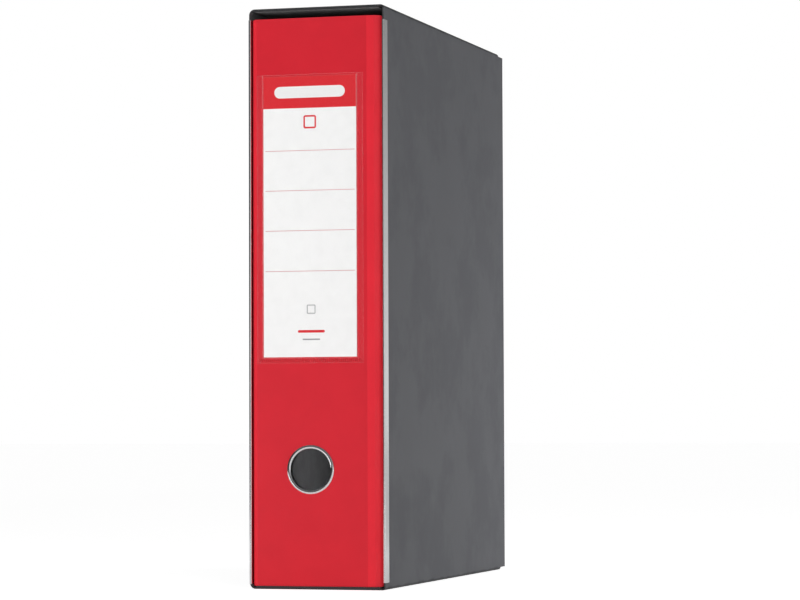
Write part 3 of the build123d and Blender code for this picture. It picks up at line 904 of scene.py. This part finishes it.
BLACK_PLASTIC = MouldedPlastic(
    "black moulded plastic", "black_plastic", (0.022, 0.022, 0.024), roughness=0.48,
)


# ---------------------------------------------------------------- making pieces
def new_piece(name: str, data: ID) -> Object:
    """Link a mesh, light or camera as an object at the origin.

    Args:
        name: the object's name.
        data: what it shows; a mesh has its place in it.

    Returns:
        The new object.
    """
    piece = bpy.data.objects.new(name, data)
    bpy.context.scene.collection.objects.link(piece)
    return piece


def turned_ring(name: str, profile: list[tuple[float, float]], centre: Vector, steps: int) -> Object:
    """Turn a closed profile about an axis along Y.

    Args:
        name: the piece's name.
        profile: radius and distance along Y from the centre, in metres, round the section.
        centre: a point on the axis.
        steps: number of steps round.

    Returns:
        The ring with smooth faces that point outwards.
    """
    shape = bmesh.new()
    rings = []
    for step in range(steps):
        angle = 2 * math.pi * step / steps
        rings.append([
            shape.verts.new((
                centre.x + radius * math.cos(angle),
                centre.y + along,
                centre.z + radius * math.sin(angle),
            ))
            for radius, along in profile
        ])
    count = len(profile)
    for step, ring in enumerate(rings):
        following = rings[(step + 1) % steps]
        for index in range(count):
            after = (index + 1) % count
            shape.faces.new((ring[index], ring[after], following[after], following[index]))
    bmesh.ops.recalc_face_normals(shape, faces=shape.faces)
    mesh = bpy.data.meshes.new(name)
    shape.to_mesh(mesh)
    shape.free()
    mesh.shade_smooth()
    return new_piece(name, mesh)


class Shaper:
    """A Geometry Nodes tree being built, then baked into a plain mesh."""

    def __init__(self, name: str, inputs: dict[str, float]) -> None:
        """Start a tree with its own sizes.

        Args:
            name: the tree's name.
            inputs: name to size, in metres or as a count.
        """
        self.sizes = inputs
        self.tree = bpy.data.node_groups.new(name, "GeometryNodeTree")
        self.tree.interface.new_socket("Geometry", in_out="OUTPUT", socket_type="NodeSocketGeometry")
        self.sockets = {}
        for label, value in inputs.items():
            kind = "NodeSocketInt" if isinstance(value, int) else "NodeSocketFloat"
            self.sockets[label] = self.tree.interface.new_socket(label, in_out="INPUT", socket_type=kind)
        self.sockets["Finish"] = self.tree.interface.new_socket(
            "Finish", in_out="INPUT", socket_type="NodeSocketMaterial",
        )
        self.given = self.tree.nodes.new("NodeGroupInput")

    def size(self, label: str) -> NodeSocket:
        """The output that carries one of the tree's sizes."""
        return self.given.outputs[label]

    def node(self, kind: str, links: dict[str | int, Feed], **settings: object) -> Node:
        """Place a node, set its properties and feed its inputs.

        Args:
            kind: the node's type name in Blender.
            links: input name or index to an output or a constant.
            settings: properties set on the node.

        Returns:
            The new node.
        """
        placed = self.tree.nodes.new(kind)
        for name, value in settings.items():
            setattr(placed, name, value)
        for key, value in links.items():
            if isinstance(value, NodeSocket):
                self.tree.links.new(value, placed.inputs[key])
            else:
                placed.inputs[key].default_value = value
        return placed

    def vector(self, x: Feed = 0.0, y: Feed = 0.0, z: Feed = 0.0) -> NodeSocket:
        """Three numbers joined into one vector."""
        return self.node("ShaderNodeCombineXYZ", {0: x, 1: y, 2: z}).outputs[0]

    def bake(self, name: str, last: NodeSocket, finish: Finish) -> Object:
        """End the tree, run it and keep its result as a plain mesh.

        Args:
            name: the piece's name.
            last: the geometry that the tree ends in.
            finish: the finish of the whole piece.

        Returns:
            The new piece, with no modifier on it.
        """
        real = self.node("GeometryNodeRealizeInstances", {"Geometry": last})
        dressed = self.node(
            "GeometryNodeSetMaterial", {"Geometry": real.outputs[0], "Material": self.size("Finish")},
        )
        output = self.tree.nodes.new("NodeGroupOutput")
        self.tree.links.new(dressed.outputs[0], output.inputs[0])
        carrier = new_piece(f"{name}_source", bpy.data.meshes.new(f"{name}_source"))
        modifier = carrier.modifiers.new("shape", "NODES")
        modifier.node_group = self.tree
        for label, value in self.sizes.items():
            modifier[self.sockets[label].identifier] = value
        modifier[self.sockets["Finish"].identifier] = palette.material(finish)
        view = bpy.context.evaluated_depsgraph_get()
        mesh = bpy.data.meshes.new_from_object(carrier.evaluated_get(view), depsgraph=view)
        mesh.name = name
        bpy.data.objects.remove(carrier)
        mesh.shade_smooth()
        return new_piece(name, mesh)


@dataclass
class BeadRow:
    """A straight row of rounded beads or ribs."""

    start: tuple[float, float, float]
    step: tuple[float, float, float]
    half: tuple[float, float, float]
    count: int

    def build(self, name: str, finish: Finish) -> Object:
        """Repeat one bead along the row.

        Args:
            name: the piece's name.
            finish: the beads' finish.

        Returns:
            The row as one piece.
        """
        sizes: dict[str, float] = {"Count": self.count}
        for label, values in (("Start", self.start), ("Step", self.step), ("Half", self.half)):
            sizes.update({f"{label} {axis}": value for axis, value in zip("XYZ", values)})
        shaper = Shaper(name, sizes)
        start, step, half = (
            shaper.vector(*(shaper.size(f"{label} {axis}") for axis in "XYZ"))
            for label in ("Start", "Step", "Half")
        )
        places = {"Count": shaper.size("Count"), "Start Location": start, "Offset": step}
        line = shaper.node("GeometryNodeMeshLine", places, mode="OFFSET")
        ball = shaper.node("GeometryNodeMeshUVSphere", {"Segments": 12, "Rings": 8, "Radius": 1.0})
        bead = shaper.node("GeometryNodeTransform", {"Geometry": ball.outputs["Mesh"], "Scale": half})
        row = shaper.node(
            "GeometryNodeInstanceOnPoints", {"Points": line.outputs["Mesh"], "Instance": bead.outputs[0]},
        )
        return shaper.bake(name, row.outputs[0], finish)


@dataclass
class RivetHeads:
    """Domed heads on both ends of four rivets that stand along X."""

    middle: tuple[float, float]
    spacing: tuple[float, float]
    outer_x: float
    outer_radius: float
    outer_rise: float
    inner_x: float
    inner_radius: float
    inner_rise: float

    def build(self, name: str, finish: Finish) -> Object:
        """Set a dome on every rivet end.

        Args:
            name: the piece's name.
            finish: the heads' finish.

        Returns:
            All heads as one piece.
        """
        shaper = Shaper(name, {
            "Middle Y": self.middle[0], "Middle Z": self.middle[1],
            "Spacing Y": self.spacing[0], "Spacing Z": self.spacing[1],
            "Outer X": self.outer_x, "Outer radius": self.outer_radius, "Outer rise": self.outer_rise,
            "Inner X": self.inner_x, "Inner radius": self.inner_radius, "Inner rise": self.inner_rise,
        })
        grid = shaper.node("GeometryNodeMeshGrid", {
            "Size X": shaper.size("Spacing Z"), "Size Y": shaper.size("Spacing Y"),
            "Vertices X": 2, "Vertices Y": 2,
        })
        ball = shaper.node("GeometryNodeMeshUVSphere", {"Segments": 32, "Rings": 16, "Radius": 1.0})
        both = shaper.node("GeometryNodeJoinGeometry", {})
        for side in ("Outer", "Inner"):
            middle = shaper.vector(
                shaper.size(f"{side} X"), shaper.size("Middle Y"), shaper.size("Middle Z"),
            )
            upright = shaper.node("GeometryNodeTransform", {
                "Geometry": grid.outputs["Mesh"], "Translation": middle,
                "Rotation": (0.0, math.pi / 2, 0.0),
            })
            radius = shaper.size(f"{side} radius")
            dome = shaper.node("GeometryNodeTransform", {
                "Geometry": ball.outputs["Mesh"],
                "Scale": shaper.vector(shaper.size(f"{side} rise"), radius, radius),
            })
            heads = shaper.node("GeometryNodeInstanceOnPoints", {
                "Points": upright.outputs[0], "Instance": dome.outputs[0],
            })
            shaper.tree.links.new(heads.outputs[0], both.inputs[0])
        return shaper.bake(name, both.outputs[0], finish)


@dataclass
class SubAssembly:
    """Part of the object that rides on one or more CAD bodies."""

    pieces: list[tuple[str, str]] = field(default_factory=list)

    def node(self, name: str, finish: Finish) -> Object:
        """Dress a CAD node.

        Args:
            name: the node's name.
            finish: its finish.

        Returns:
            The node's object.
        """
        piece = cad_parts[name]
        palette.dress(piece, finish)
        self.pieces.append((name, finish.name))
        return piece

    def add(self, piece: Object, finish: Finish, body: str, replaces: tuple[str, ...] = ()) -> Object:
        """Dress a new piece and let it ride.

        Args:
            piece: the finished piece.
            finish: its finish.
            body: the CAD body that it moves with.
            replaces: CAD nodes that it stands for.

        Returns:
            The same piece.
        """
        palette.dress(piece, finish)
        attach(piece, body)
        if replaces:
            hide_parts(*replaces)
        self.pieces.append((piece.name, finish.name))
        return piece

    def report(self) -> None:
        """Log each piece with its finish."""
        for name, finish in self.pieces:
            log.info("%s: %s in %s", type(self).__name__, name, finish)


@dataclass
class Slipcase(SubAssembly):
    """Board case with its liners and bright front edge strips."""

    def build(self) -> None:
        """Dress the shell, the liners and the strips."""
        for side in ("left", "right"):
            self.node(f"case_board_{side}", CASE_PAPER)
            self.node(f"edge_strip_{side}", STRIP_STEEL)
        for place in ("roof", "floor", "back"):
            self.node(f"case_{place}_liner", LINER_PAPER)


@dataclass
class Covers(SubAssembly):
    """Film, boards and linings of the file."""

    board_margin: float = 1.2 * MM

    def film(self) -> CoverFilm:
        """Place the film's finish by the film and the spine board.

        Returns:
            The finish.
        """
        low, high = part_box("cover_film")
        board_low, board_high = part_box("spine_board")
        return CoverFilm(
            "red cover film", "cover_film", (0.67, 0.019, 0.033), roughness=0.36, specular=0.25,
            low=tuple(low), high=tuple(high),
            spine=(board_low.x - self.board_margin, board_high.x + self.board_margin),
        )

    def build(self) -> None:
        """Dress every layer."""
        self.node("cover_film", self.film())
        for board in ("spine_board", "back_cover_board", "front_cover_board"):
            self.node(board, GREY_BOARD)
        for lining in ("spine_lining", "back_cover_lining", "front_cover_lining"):
            self.node(lining, DARK_LINING)


@dataclass
class FingerRing(SubAssembly):
    """Chromed eyelet with a rounded brim, and the washer behind it."""

    steps: int = 160
    bead_points: int = 14
    sheet: float = 0.6 * MM
    brim_fullness: float = 0.75
    curl: float = 0.8 * MM
    curl_height: float = 0.5 * MM
    curl_round: float = 0.15 * MM
    mouth_round: tuple[float, float] = (0.1 * MM, 0.3 * MM)

    def build(self) -> None:
        """Turn the eyelet to the CAD ring's size and dress both pieces."""
        low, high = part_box("finger_ring")
        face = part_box("cover_film")[0].y
        centre = Vector(((low.x + high.x) / 2, face, (low.z + high.z) / 2))
        outer = (high.x - low.x) / 2
        brim = face - low.y
        hole = self._hole_radius(centre)
        half = (outer - hole) / 2
        bead = [
            (
                hole + half - half * math.cos(math.pi * step / self.bead_points),
                -brim * math.sin(math.pi * step / self.bead_points) ** self.brim_fullness,
            )
            for step in range(self.bead_points + 1)
        ]
        rear = high.y - face
        barrel = hole + self.sheet
        mouth, mouth_depth = self.mouth_round
        tail = [
            (barrel, 0.0),
            (barrel, rear - self.curl_height),
            (barrel + self.curl, rear - self.curl_height),
            (barrel + self.curl * 0.8, rear - self.curl_round),
            (barrel, rear),
            (hole + mouth, rear - mouth),
            (hole, rear - mouth_depth),
        ]
        ring = turned_ring("finger_ring_eyelet", bead + tail, centre, self.steps)
        self.add(ring, RING_CHROME, "file", ("finger_ring",))
        self.node("finger_ring_washer", MECHANISM_STEEL)

    @staticmethod
    def _hole_radius(centre: Vector) -> float:
        """Measure the CAD ring's hole.

        Args:
            centre: a point on the ring's axis.

        Returns:
            Smallest distance of its surface from the axis.
        """
        return min(
            math.hypot(vertex.co.x - centre.x, vertex.co.z - centre.z)
            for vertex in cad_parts["finger_ring"].data.vertices
        )


@dataclass
class LabelPocket(SubAssembly):
    """Clear pocket on the spine, with the card in it."""

    head: Colour = (0.74, 0.018, 0.028)
    line_ink: Colour = (0.66, 0.30, 0.31)
    white: Colour = (0.90, 0.90, 0.89)
    grey: Colour = (0.32, 0.32, 0.33)
    head_low: float = 150.0 * MM
    rules: tuple[float, ...] = (51.5 * MM, 75.9 * MM, 100.1 * MM, 124.2 * MM)
    rule_margin: float = 1.2 * MM
    rule_line: float = 0.35 * MM
    sheet: float = 0.25 * MM
    weld_margin: float = 1.0 * MM
    weld_lift: float = 0.1 * MM
    weld_pitch: float = 1.25 * MM
    weld_half: tuple[float, float, float] = (0.36 * MM, 0.16 * MM, 1.25 * MM)

    def build(self) -> None:
        """Dress the pocket and print the card."""
        pocket_low, pocket_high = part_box("label_pocket")
        pocket = ClearFilm(
            "clear pocket film", "pocket_film", (0.95, 0.95, 0.96), roughness=0.1, specular=0.35,
            low=tuple(pocket_low), high=tuple(pocket_high),
        )
        self.node("label_pocket", pocket)
        self._weld(pocket_low, pocket_high)
        low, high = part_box("spine_label")
        width = high.x - low.x
        height = high.z - low.z
        card = LabelCard(
            "printed label card", "label_card", (0.96, 0.96, 0.955), roughness=0.45,
            corner=(low.x, low.z), front=low.y + 0.05 * MM, areas=self._print(width, height),
        )
        self.node("spine_label", card)

    def _weld(self, low: Vector, high: Vector) -> None:
        """Set the row of weld marks along the pocket's lower edge.

        Args:
            low: the pocket's lowest corner.
            high: its highest corner.
        """
        count = int((high.x - low.x - 2 * self.weld_margin) / self.weld_pitch) + 1
        spread = (count - 1) * self.weld_pitch
        bottom = low.z + self.weld_half[2] + self.weld_lift
        marks = BeadRow(
            start=((low.x + high.x - spread) / 2, high.y - self.sheet, bottom),
            step=(self.weld_pitch, 0.0, 0.0), half=self.weld_half, count=count,
        )
        film = Covers().film()
        self.add(marks.build("pocket_weld_marks", film), film, "file")

    def _print(self, width: float, height: float) -> tuple[PrintedArea, ...]:
        """What is printed on the card.

        Args:
            width: the card's width.
            height: the card's height.

        Returns:
            The printed areas, from the bottom layer up.
        """
        head_low = self.head_low
        areas = [
            PrintedArea(0.0, head_low, width, height - head_low, self.head),
            PrintedArea(7 * MM, 156.2 * MM, width - 14 * MM, 7.0 * MM, self.white, round=3.5 * MM),
            PrintedArea(25.4 * MM, 137.6 * MM, 8 * MM, 8 * MM, self.head, round=1.2 * MM, line=1.0 * MM),
            PrintedArea(27.3 * MM, 26 * MM, 5.4 * MM, 5.4 * MM, self.grey, round=0.6 * MM, line=0.5 * MM),
            PrintedArea(21.6 * MM, 14.6 * MM, 17 * MM, 1.6 * MM, self.head, round=0.8 * MM),
            PrintedArea(24.6 * MM, 10.2 * MM, 11 * MM, 0.8 * MM, self.grey, round=0.4 * MM),
        ]
        for rule in self.rules:
            run = width - 2.2 * MM
            areas.append(PrintedArea(self.rule_margin, rule, run, self.rule_line, self.line_ink))
        return tuple(areas)


@dataclass
class Mechanism(SubAssembly):
    """Base plate, posts, arches, lever, roller and compressor."""

    outer_head: float = 4.5 * MM
    outer_rise: float = 0.25 * MM
    inner_head: float = 3.4 * MM
    inner_rise: float = 0.8 * MM
    grip_ribs: int = 7
    grip_rib_pitch: float = 1.7 * MM
    grip_rib_half: tuple[float, float, float] = (0.45 * MM, 5.2 * MM, 0.5 * MM)

    def build(self) -> None:
        """Dress every steel and plastic piece, and add rivet heads and the grip's ribs."""
        self._rivets()
        self._ribs()
        for name in ("base_plate", "lever", "lever_pin", "roller_pin", "compressor_bar"):
            self.node(name, MECHANISM_STEEL)
        for name in ("arch_wire", "post_upper", "post_lower", "roller"):
            self.node(name, WIRE_STEEL)
        for name in ("lever_grip", "compressor_slide_upper", "compressor_slide_lower"):
            self.node(name, BLACK_PLASTIC)

    def _rivets(self) -> None:
        """Dome the heads of the four rivets through the back cover."""
        low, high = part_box("cover_rivets")
        heads = RivetHeads(
            middle=((low.y + high.y) / 2, (low.z + high.z) / 2),
            spacing=(high.y - low.y - 2 * self.outer_head, high.z - low.z - 2 * self.outer_head),
            outer_x=low.x + self.outer_rise, outer_radius=self.outer_head, outer_rise=self.outer_rise,
            inner_x=high.x - self.inner_rise, inner_radius=self.inner_head, inner_rise=self.inner_rise,
        )
        piece = heads.build("cover_rivet_heads", MECHANISM_STEEL)
        self.add(piece, MECHANISM_STEEL, "file", ("cover_rivets",))

    def _ribs(self) -> None:
        """Raise ribs on the grip's thumb side."""
        low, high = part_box("lever_grip")
        spread = (self.grip_ribs - 1) * self.grip_rib_pitch
        ribs = BeadRow(
            start=(high.x, (low.y + high.y) / 2, (low.z + high.z - spread) / 2),
            step=(0.0, 0.0, self.grip_rib_pitch), half=self.grip_rib_half, count=self.grip_ribs,
        )
        self.add(ribs.build("lever_grip_ribs", BLACK_PLASTIC), BLACK_PLASTIC, "lever")


# ---------------------------------------------------------------- studio
@dataclass
class Softbox:
    """A soft rectangular light that stays out of reflections."""

    name: str
    place: tuple[float, float, float]
    target: tuple[float, float, float]
    width: float
    height: float
    watts: float

    def build(self) -> None:
        """Hang the light and aim it."""
        data = bpy.data.lights.new(self.name, "AREA")
        data.shape = "RECTANGLE"
        data.size = self.width
        data.size_y = self.height
        data.energy = self.watts
        light = new_piece(self.name, data)
        light.visible_camera = False
        light.visible_glossy = False
        aim = (Vector(self.target) - Vector(self.place)).to_track_quat("-Z", "Y")
        light.matrix_world = Matrix.Translation(self.place) @ aim.to_matrix().to_4x4()


@dataclass
class Studio:
    """Pale floor, sky, lights and the camera."""

    camera_place: tuple[float, float, float] = (0.5830, -1.9502, 0.1002)
    yaw: float = -0.2856
    pitch: float = 0.0384
    roll: float = -0.0037
    lens: float = 142.5
    sky_low: float = 0.75
    sky_mid: float = 0.24
    sky_high: float = 0.12
    sky_rim: float = 0.16
    sky_top: float = 0.8
    floor_tone: Colour = (0.9, 0.9, 0.9)
    floor_glow: float = 0.35
    floor_seen: float = 0.84
    flag_tone: Colour = (0.05, 0.05, 0.05)
    flag_track: tuple[tuple[float, float], ...] = ((-1.0, 2.4), (-1.0, -1.0), (0.1, -2.2))
    flag_span: tuple[float, float] = (-0.04, 0.7)

    def build(self) -> None:
        """Set everything that isn't the object."""
        self._camera()
        self._floor()
        self._flag()
        self._sky()
        for light in self._lights():
            light.build()
        bpy.context.scene.view_settings.view_transform = "Standard"

    def _camera(self) -> None:
        """Place the camera from its yaw, pitch and roll."""
        data = bpy.data.cameras.new("camera")
        data.sensor_width = 36.0
        data.lens = self.lens
        data.clip_start = 0.05
        camera = new_piece("camera", data)
        level = Vector((math.sin(self.yaw), math.cos(self.yaw), 0.0))
        side = Vector((math.cos(self.yaw), -math.sin(self.yaw), 0.0))
        up = Vector((0.0, 0.0, 1.0))
        ahead = level * math.cos(self.pitch) + up * math.sin(self.pitch)
        above = up * math.cos(self.pitch) - level * math.sin(self.pitch)
        right = side * math.cos(self.roll) + above * math.sin(self.roll)
        top = above * math.cos(self.roll) - side * math.sin(self.roll)
        turn = Matrix((right, top, -ahead)).transposed().to_4x4()
        camera.matrix_world = Matrix.Translation(self.camera_place) @ turn
        bpy.context.scene.camera = camera

    @staticmethod
    def _sheet(name: str, corners: list[tuple], faces: list[tuple]) -> tuple[Object, Surface]:
        """Put up a sheet that belongs to the studio.

        Args:
            name: its name.
            corners: its corners.
            faces: its faces, as numbers of corners.

        Returns:
            The sheet and its material being drawn.
        """
        mesh = bpy.data.meshes.new(name)
        mesh.from_pydata(corners, [], faces)
        surface = Surface(name)
        mesh.materials.append(surface.material)
        sheet = new_piece(name, mesh)
        return sheet, surface

    def _floor(self) -> None:
        """Wide pale floor just under the object."""
        reach, drop = 12.0, 0.05 * MM
        turns = ((-1, -1), (1, -1), (1, 1), (-1, 1))
        corners = [(x * reach, y * reach, -drop) for x, y in turns]
        _, draw = self._sheet("studio_floor", corners, [(0, 1, 2, 3)])
        seen = draw.node("ShaderNodeLightPath").outputs["Is Camera Ray"]
        glow = draw.mix(seen, (self.floor_glow,) * 3, (self.floor_seen,) * 3)
        draw.finish(Base_Color=self.floor_tone, Roughness=0.9, Emission_Color=glow, Emission_Strength=1.0)

    def _sky(self) -> None:
        """Plain white behind the object; what lights it is darker overhead than at the horizon."""
        world = bpy.data.worlds.new("studio sky")
        bpy.context.scene.world = world
        world.use_nodes = True
        draw = Canvas(world.node_tree)
        background = world.node_tree.nodes["Background"]
        background.inputs["Color"].default_value = (1.0, 1.0, 1.0, 1.0)
        direction = draw.node("ShaderNodeTexCoord").outputs["Generated"]
        _, _, z = draw.axes(direction)
        rim = draw.span(z, -0.02, self.sky_rim, self.sky_low, self.sky_mid)
        darker = draw.span(z, self.sky_rim, self.sky_top, 0.0, self.sky_mid - self.sky_high)
        dome = draw.math(Sum.SUBTRACT, rim, darker)
        seen = draw.node("ShaderNodeLightPath").outputs["Is Camera Ray"]
        draw.feed(background.inputs["Strength"], draw.math(Sum.MAXIMUM, dome, seen))

    def _lights(self) -> list[Softbox]:
        """Name the softboxes round the object and the one inside it.

        Returns:
            The lights, not yet hung.
        """
        middle = (0.0, 0.0, 0.17)
        return [
            Softbox("key_left", (-0.48, -0.80, 0.08), middle, 0.35, 0.35, 3.4),
            Softbox("key_right", (1.0, -1.55, 0.25), middle, 0.8, 0.9, 10.5),
            Softbox("side_right", (1.5, 0.1, 0.15), middle, 0.8, 0.6, 5.0),
            Softbox("low_back_right", (0.42, 0.30, 0.05), (0.04, 0.10, 0.05), 0.15, 0.1, 0.8),
            Softbox("inside_file", (0.03, -0.06, 0.072), (-0.04, 0.02, 0.072), 0.03, 0.03, 0.04),
        ]

    def _flag(self) -> None:
        """Dark card round the object's left that only reflections see."""
        corners = [(x, y, z) for x, y in self.flag_track for z in self.flag_span]
        flag, draw = self._sheet("studio_flag", corners, [(0, 1, 3, 2), (2, 3, 5, 4)])
        draw.finish(Base_Color=self.flag_tone)
        flag.visible_camera = False
        flag.visible_diffuse = False
        flag.visible_shadow = False


def main() -> None:
    """Build the sub-assemblies in order and report their pieces."""
    logging.basicConfig(level=logging.INFO, format="%(message)s")
    for assembly in (Slipcase(), Covers(), FingerRing(), LabelPocket(), Mechanism()):
        assembly.build()
        assembly.report()
    Studio().build()


if __name__ == "__main__":
    main()
